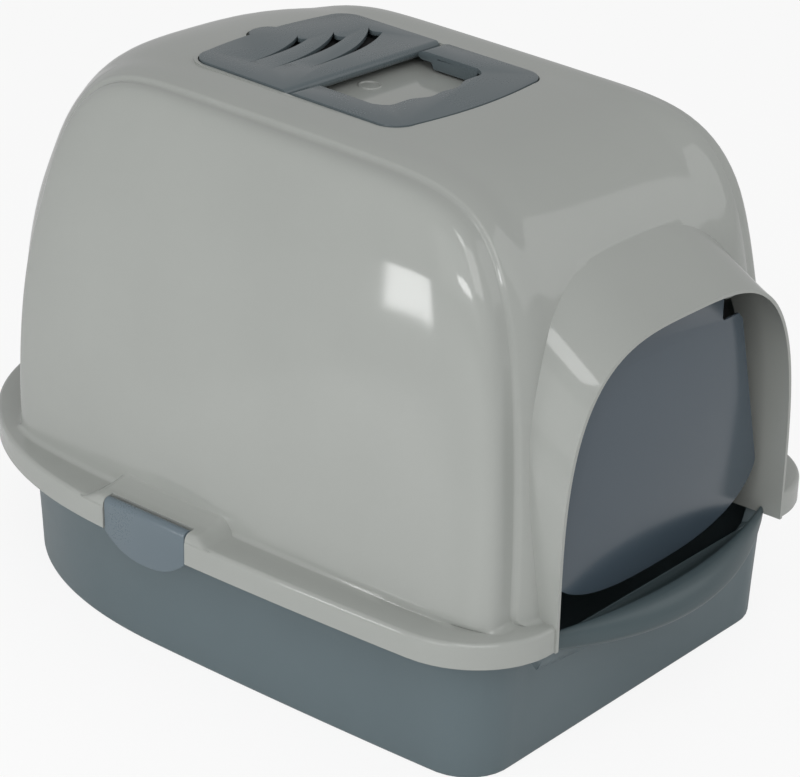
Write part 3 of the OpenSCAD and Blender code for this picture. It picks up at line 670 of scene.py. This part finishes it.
def traySection():
    # points of (inset, height) from the underside round the rim to the floor: along the closed wall, and
    # as many at the sill inside the entrance
    q = tray
    foot, brim, top, sill, w = q["footInset"], q["brimInset"], q["height"], q["sill"], q["wall"]
    rim, t, neck, middle = q["rimInset"], q["rimThickness"], q["height"] - q["neck"], q["middle"]
    footR, innerR, edgeR, sillR = q["footRound"], q["innerRound"], q["edgeRound"], q["sillRound"]
    shares = (0.25, 0.5, 0.75, 1)
    side = [(foot + middle, 0), (foot + 5, 0)] + arc(foot + 4, footR, footR, -90, -176, 6)
    wallLine = [(mix(foot, brim + 0.5, k), mix(4.5, neck, k)) for k in shares]
    rimLine = ([(brim - 0.4, top - t - 5), (brim - 1.4, top - t - 2), (brim - 3, top - t),
                (rim + 3, top - t)]
               + arc(rim + t / 2, top - t / 2, t / 2, -90, -270, 6)
               + [(brim + w - edgeR, top)] + arc(brim + w - edgeR, top - edgeR, edgeR, 90, 0, 4)[1:])
    inner = [(brim + w + 1, neck), (mix(brim, foot, 0.5) + w + 0.5, top / 2),
             (foot + w, q["floor"] + innerR)]
    inner += arc(foot + w + innerR, q["floor"] + innerR, innerR, 180, 270, 6)[1:]
    inner += [(foot + middle + 5, q["floor"])]
    closed = side + wallLine + rimLine + inner
    drop = [(foot + k * (brim + 2 - foot), mix(4.5, sill - sillR, k)) for k in shares]
    m = len(rimLine) - 1
    edge = [(brim + 2 + (w + 0.5) * (1 - math.cos(math.pi * i / m)) / 2,
             sill - sillR + sillR * math.sin(math.pi * i / m)) for i in range(m + 1)]
    low = side + drop + edge + [(brim + w + 3, sill - 12)] + inner[1:]
    return closed, low


def evenAngles(n, inset, fine):
    # directions from the plan's middle that step evenly along its outline
    pts = [planPoint(2 * math.pi * i / fine, inset) for i in range(fine + 1)]
    run = [0]
    for p, q in zip(pts, pts[1:]):
        run.append(run[-1] + math.dist(p, q))
    out, k = [], 0
    for i in range(n):
        while run[k] < run[-1] * i / n:
            k += 1
        out.append(2 * math.pi * k / fine)
    return out


def makeTray():
    # the section run round the plan, dropping to the sill across the entrance
    q = tray
    closed, low = traySection()
    n = q["stations"]
    angles = evenAngles(n, q["spacingInset"], q["spacingSteps"])

    def place(u, v):
        k, i = round(u * n) % n, round(v * (len(closed) - 1))
        onSide = planPoint(angles[k], q["brimInset"])
        e = smooth((q["entryHalf"] - abs(onSide[0])) / q["sillBlend"]) if onSide[1] < 0 else 0
        x, y = planPoint(angles[k], mix(closed[i][0], low[i][0], e))
        return x, y, mix(closed[i][1], low[i][1], e)

    shell = gridPiece("trayShell", n, len(closed) - 1, place)
    inEdit(shell, weld, lambda: bpy.ops.mesh.fill_holes(sides=0), outwards)
    return shell


trayShell = makeTray()

# lip in front of the entrance: each point of its section is the place in front of the tray's wall, the
# height, and the point's share of the underside's rise and tuck towards the lip's ends
lip = dict(
    half=122.4, wallY=-262, frontY=-307, bow=30, rows=64, sectionSteps=3, endRise=7, endTuck=14,
    section=((2, 58, 1), (-6, 66, 1), (-20, 77, 1), (-39, 79.5, 0.9), (-44, 82.5, 0.75), (-45, 87.5, 0.4),
             (-41, 96.5, 0.1), (-36, 99.9, 0), (-31, 100.5, 0), (-27, 98.5, 0), (-23, 91.5, 0),
             (-6, 82, 0), (2, 80, 0)),
)


def makeLip():
    q = lip
    section, reach = roundedProfile(q["section"], q["sectionSteps"]), q["wallY"] - q["frontY"]
    rings = []
    for i in range(q["rows"] + 1):
        side = mix(-1, 1, i / q["rows"])
        rings.append([(side * (q["half"] - q["endTuck"] * share),
                       q["wallY"] + y + q["bow"] * side * side * clamp(-y / reach, 0, 1),
                       z + q["endRise"] * side * side * share) for y, z, share in section])
    return tubePiece("entranceLip", rings, poles=False)


combine(trayShell, makeLip(), "UNION")
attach(trayShell, "tray")
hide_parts("tray")
smoothShade(trayShell, shadeAngle)
print("tray made:", len(trayShell.data.polygons), "faces")


# finishes
class Signal:
    # wraps a socket, so that sums on it add Math nodes
    def __init__(self, tree, socket):
        self.tree, self.socket = tree, socket

    def calculate(self, operation, *values):
        sockets = dict(enumerate(values))
        return self.tree.add("ShaderNodeMath", dict(operation=operation), sockets, "Value")

    def __add__(self, other):
        return self.calculate("ADD", self, other)

    def __radd__(self, other):
        return self.calculate("ADD", other, self)

    def __sub__(self, other):
        return self.calculate("SUBTRACT", self, other)

    def __rsub__(self, other):
        return self.calculate("SUBTRACT", other, self)

    def __mul__(self, other):
        return self.calculate("MULTIPLY", self, other)

    def __rmul__(self, other):
        return self.calculate("MULTIPLY", other, self)


class Finish:
    # a material under construction
    def __init__(self, name):
        self.material = bpy.data.materials.new(name)
        self.material.use_nodes = True
        self.nodes = self.material.node_tree.nodes
        self.links = self.material.node_tree.links
        self.nodes.clear()

    def add(self, kind, settings=None, values=None, output=0):
        # one node, with its settings first and then the values or links of its sockets
        node = self.nodes.new(kind)
        for key, value in (settings or {}).items():
            setattr(node, key, value)
        for key, value in (values or {}).items():
            if isinstance(value, Signal):
                self.links.new(value.socket, node.inputs[key])
            else:
                node.inputs[key].default_value = value
        return Signal(self, node.outputs[output])

    def place(self):
        return self.add("ShaderNodeTexCoord", output="Object")

    def noise(self, where, scale, detail=2):
        sockets = {"Vector": where, "Scale": scale, "Detail": detail}
        return self.add("ShaderNodeTexNoise", None, sockets, "Fac")

    def spread(self, signal, start, end, low, high):
        # start to end in the signal becomes low to high
        return self.add("ShaderNodeMapRange", None, {0: signal, 1: start, 2: end, 3: low, 4: high})

    def blend(self, factor, first, second):
        return self.add("ShaderNodeMix", dict(data_type="RGBA"), {0: factor, 6: first, 7: second}, 2)

    def bump(self, height, distance, strength):
        sockets = {"Height": height, "Distance": distance, "Strength": strength}
        return self.add("ShaderNodeBump", None, sockets)

    def surface(self, **sockets):
        names = {key.replace("_", " "): value for key, value in sockets.items()}
        shader = self.add("ShaderNodeBsdfPrincipled", None, names)
        self.finish(shader)

    def finish(self, shader):
        out = self.nodes.new("ShaderNodeOutputMaterial")
        self.links.new(shader.socket, out.inputs["Surface"])


def linear(r, g, b, alpha=1):
    # a colour written as it is seen, 0 to 255, in the shader's own scale
    def one(c):
        c /= 255
        return c / 12.92 if c <= 0.04045 else ((c + 0.055) / 1.055) ** 2.4
    return one(r), one(g), one(b), alpha


# scales are waves per metre, noiseRange is what the noise mostly spans, lipShadeFrom and lipShadeTo are
# along Y, where the painted shade on the lip fades in
plastic = dict(
    cloudScale=9, fineScale=900, poreScale=320, waveScale=26, waveDepth=0.6, noiseRange=(0.3, 0.7),
    fineShare=0.3, glossChange=0.15, bumpDistance=0.00012, bumpStrength=0.5,
    lipShadeFrom=-0.264, lipShadeTo=-0.272,
)


def mouldedPlastic(name, colour, shade, roughness, grain, ior=1.49, lipShadeTone=None):
    # polypropylene: faint clouding in the colour, an almost even gloss and a very fine skin
    f, q = Finish(name), plastic
    where = f.place()
    cloud = f.noise(where, q["cloudScale"], 3)
    fine = f.noise(where, q["fineScale"])
    pores = f.noise(where, q["poreScale"])
    wave = f.noise(where, q["waveScale"], 1)
    tone = f.blend(f.spread(cloud, *q["noiseRange"], 0, 1), colour, shade)
    if lipShadeTone:
        # painted shade: the lip in front of the tray's wall gets a darker colour that stands in for the
        # shade on its front
        ahead = f.add("ShaderNodeSeparateXYZ", None, {0: where}, "Y")
        tone = f.blend(f.spread(ahead, q["lipShadeFrom"], q["lipShadeTo"], 0, 1), tone, lipShadeTone)
    height = wave * q["waveDepth"] + pores * grain
    change = q["glossChange"]
    gloss = f.spread(cloud + (fine - 0.5) * q["fineShare"], *q["noiseRange"],
                     roughness * (1 - change), roughness * (1 + change))
    f.surface(Base_Color=tone, Roughness=gloss, IOR=ior,
              Normal=f.bump(height, q["bumpDistance"], q["bumpStrength"]))
    return f.material


# name, colour, its faint second colour, roughness, depth of the pores
finishes = dict(
    hood=mouldedPlastic("hoodGloss", linear(164, 167, 163), linear(161, 164, 160), 0.08, 0.04),
    # the tray's last colour is painted shade for the lip in front of the entrance
    tray=mouldedPlastic("traySatin", linear(96, 110, 115), linear(92, 106, 111), 0.34, 0.06,
                        lipShadeTone=linear(70, 84, 88)),
    latch=mouldedPlastic("latchSatin", linear(104, 117, 125), linear(101, 114, 122), 0.3, 0.04),
    trim=mouldedPlastic("trimSatin", linear(91, 101, 105), linear(88, 98, 102), 0.26, 0.05),
    flap=mouldedPlastic("flapSmoke", linear(70, 82, 92), linear(67, 79, 89), 0.16, 0.01, ior=1.58),
    foam=mouldedPlastic("foamBlack", linear(30, 31, 32), linear(22, 23, 24), 0.9, 1.0),
)


def dress(obj, material):
    obj.data.materials.clear()
    obj.data.materials.append(material)


dress(dome, finishes["hood"])
dress(trayShell, finishes["tray"])
for part, finish in dict(latchLeft="latch", latchRight="latch", cover="trim", handle="trim",
                         flap="flap", pad="foam").items():
    dress(small[part], finishes[finish])
print("finishes applied")


# studio: whiteFloor is how much of the white backdrop the camera sees on the floor
studio = dict(floorSize=12, floorTone=0.9, whiteFloor=0.87, worldStrength=0.48, lamps=(
    # name, shape, place, aim, size, power in watts
    ("keySoft", "RECTANGLE", (-1.7, -1.9, 2.0), (0, 0, 0.25), (1.9, 1.9), 24),
    ("sideSoft", "RECTANGLE", (-2.6, -0.3, 1.1), (-0.1, -0.05, 0.2), (2.2, 1.6), 5),
    ("fillSoft", "RECTANGLE", (1.8, -2.2, 1.6), (0, 0, 0.2), (2, 2), 9),
    ("porchSoft", "RECTANGLE", (-1.15, -0.7, 2.0), (-0.09, -0.27, 0.28), (0.45, 0.45), 2.5),
    ("roundSoft", "ELLIPSE", (-2.1, -0.39, 0.69), (-0.139, -0.218, 0.322), (0.8, 0.26), 4.4),
    ("windowSoft", "RECTANGLE", (-1.01, 0.3, 0.205), (-0.147, -0.18, 0.31), (0.19, 0.22), 1.1),
))


def makeStudio():
    pickNothing()
    bpy.ops.mesh.primitive_plane_add(size=studio["floorSize"])
    floor = bpy.context.object
    floor.name = "studioFloor"
    f, tone = Finish("paleFloor"), studio["floorTone"]
    camera = f.add("ShaderNodeLightPath", output="Is Camera Ray")
    plain = f.add("ShaderNodeBsdfDiffuse", None, {"Color": (tone, tone, tone, 1)})
    white = f.add("ShaderNodeEmission", None, {"Color": (1, 1, 1, 1), "Strength": 1.0})
    share = camera * studio["whiteFloor"]
    f.finish(f.add("ShaderNodeMixShader", None, {0: share, 1: plain, 2: white}))
    dress(floor, f.material)
    world = bpy.data.worlds.new("paleRoom")
    bpy.context.scene.world = world
    world.use_nodes = True
    sky = world.node_tree.nodes["Background"].inputs
    sky["Color"].default_value = (1, 1, 1, 1)
    sky["Strength"].default_value = studio["worldStrength"]
    for name, shape, place, aim, size, power in studio["lamps"]:
        light = bpy.data.lights.new(name, "AREA")
        light.shape = shape
        light.size, light.size_y = size
        light.energy = power
        lamp = bpy.data.objects.new(name, light)
        lamp.location = place
        lamp.rotation_euler = (Vector(aim) - Vector(place)).to_track_quat("-Z", "Y").to_euler()
        bpy.context.collection.objects.link(lamp)


makeStudio()
print("studio set")
